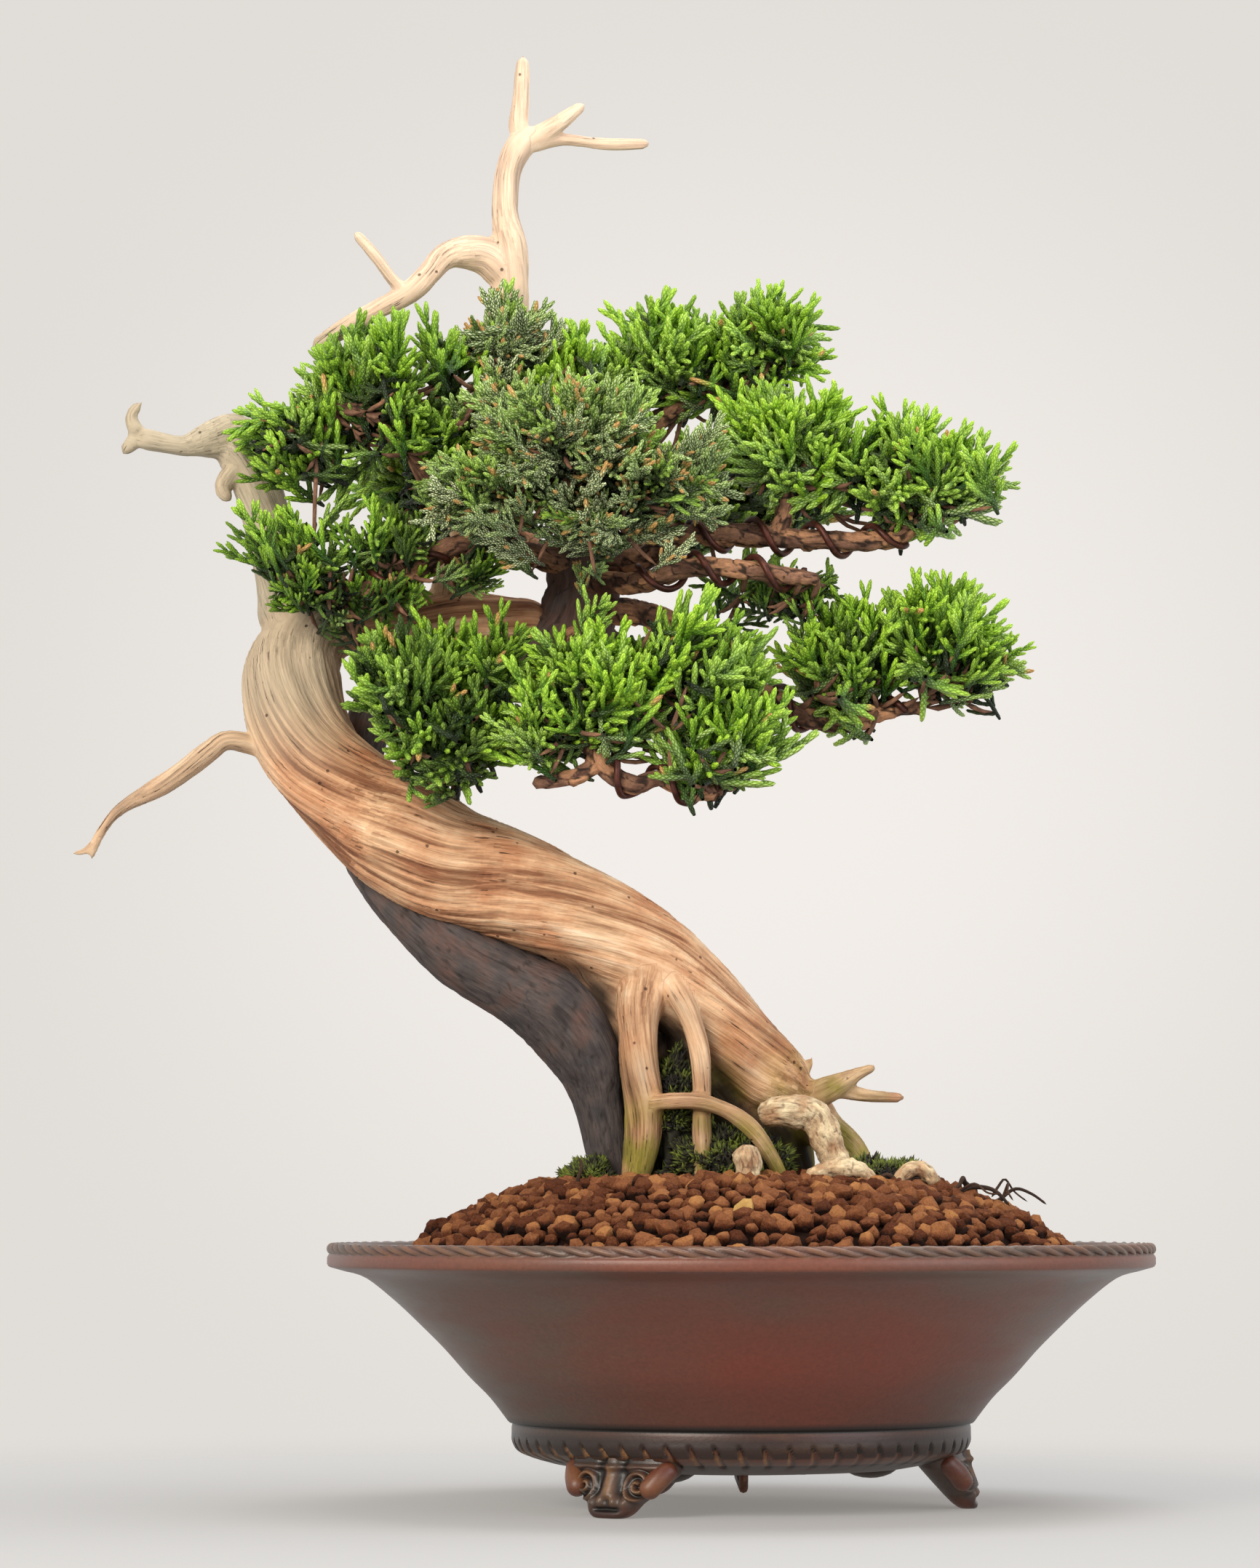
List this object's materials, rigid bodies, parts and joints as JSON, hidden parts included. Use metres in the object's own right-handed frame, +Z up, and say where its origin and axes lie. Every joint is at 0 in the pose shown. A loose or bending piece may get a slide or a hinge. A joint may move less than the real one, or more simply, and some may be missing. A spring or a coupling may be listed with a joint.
{
  "type": "juniper bonsai tree in a round pot",
  "caption": "Windswept juniper bonsai with twisted dead trunk, live vein, wired branches and foliage pads, on a soil mound in a round footed stoneware pot.",
  "frame": {"origin": "middle of the bounding box's bottom, on the surface the pot's feet stand on; the pot's own axis is at X = 0.0283 m", "axes": "+Z up; +X to the right as seen from the tree's front; the front of the tree faces -Y"},
  "size_m": [0.2361, 0.18, 0.3216],
  "materials": {
    "stoneware": "matte",
    "soil": "matte",
    "drainage_mesh": "matte",
    "tie_wire": "satin",
    "deadwood": "matte",
    "live_bark": "matte",
    "moss": "matte",
    "branch_bark": "matte",
    "training_wire": "satin",
    "foliage": "satin"
  },
  "bodies": {
    "root": {"pot": "stoneware", "soil": "soil", "drainage_mesh": "drainage_mesh", "mesh_clip": "tie_wire", "tie_down_wire": "tie_wire", "trunk_deadwood": "deadwood", "live_vein": "live_bark", "live_root_knotted": "live_bark", "live_root_stub": "live_bark", "surface_root_left": "live_bark", "surface_root_right": "live_bark", "moss_left": "moss", "moss_middle": "moss", "moss_right": "moss", "branch_top": "branch_bark", "branch_left": "branch_bark", "branch_right": "branch_bark", "branch_right_low": "branch_bark", "branch_low_right": "branch_bark", "branch_low_front": "branch_bark", "branch_low_left": "branch_bark", "branch_front": "branch_bark", "branch_back_left": "branch_bark", "branch_back_right": "branch_bark", "branch_back_low": "branch_bark", "training_wire_left": "training_wire", "training_wire_right": "training_wire", "training_wire_right_low": "training_wire", "training_wire_low_right": "training_wire", "training_wire_low_front": "training_wire", "foliage_top": "foliage", "foliage_top_right": "foliage", "foliage_top_left": "foliage", "foliage_front": "foliage", "foliage_right": "foliage", "foliage_left": "foliage", "foliage_low_left": "foliage", "foliage_low_middle": "foliage", "foliage_low_right": "foliage", "foliage_far_right": "foliage", "foliage_under_right": "foliage", "foliage_back_left": "foliage", "foliage_back_right": "foliage", "foliage_back_low": "foliage"}
  },
  "joints": []
}
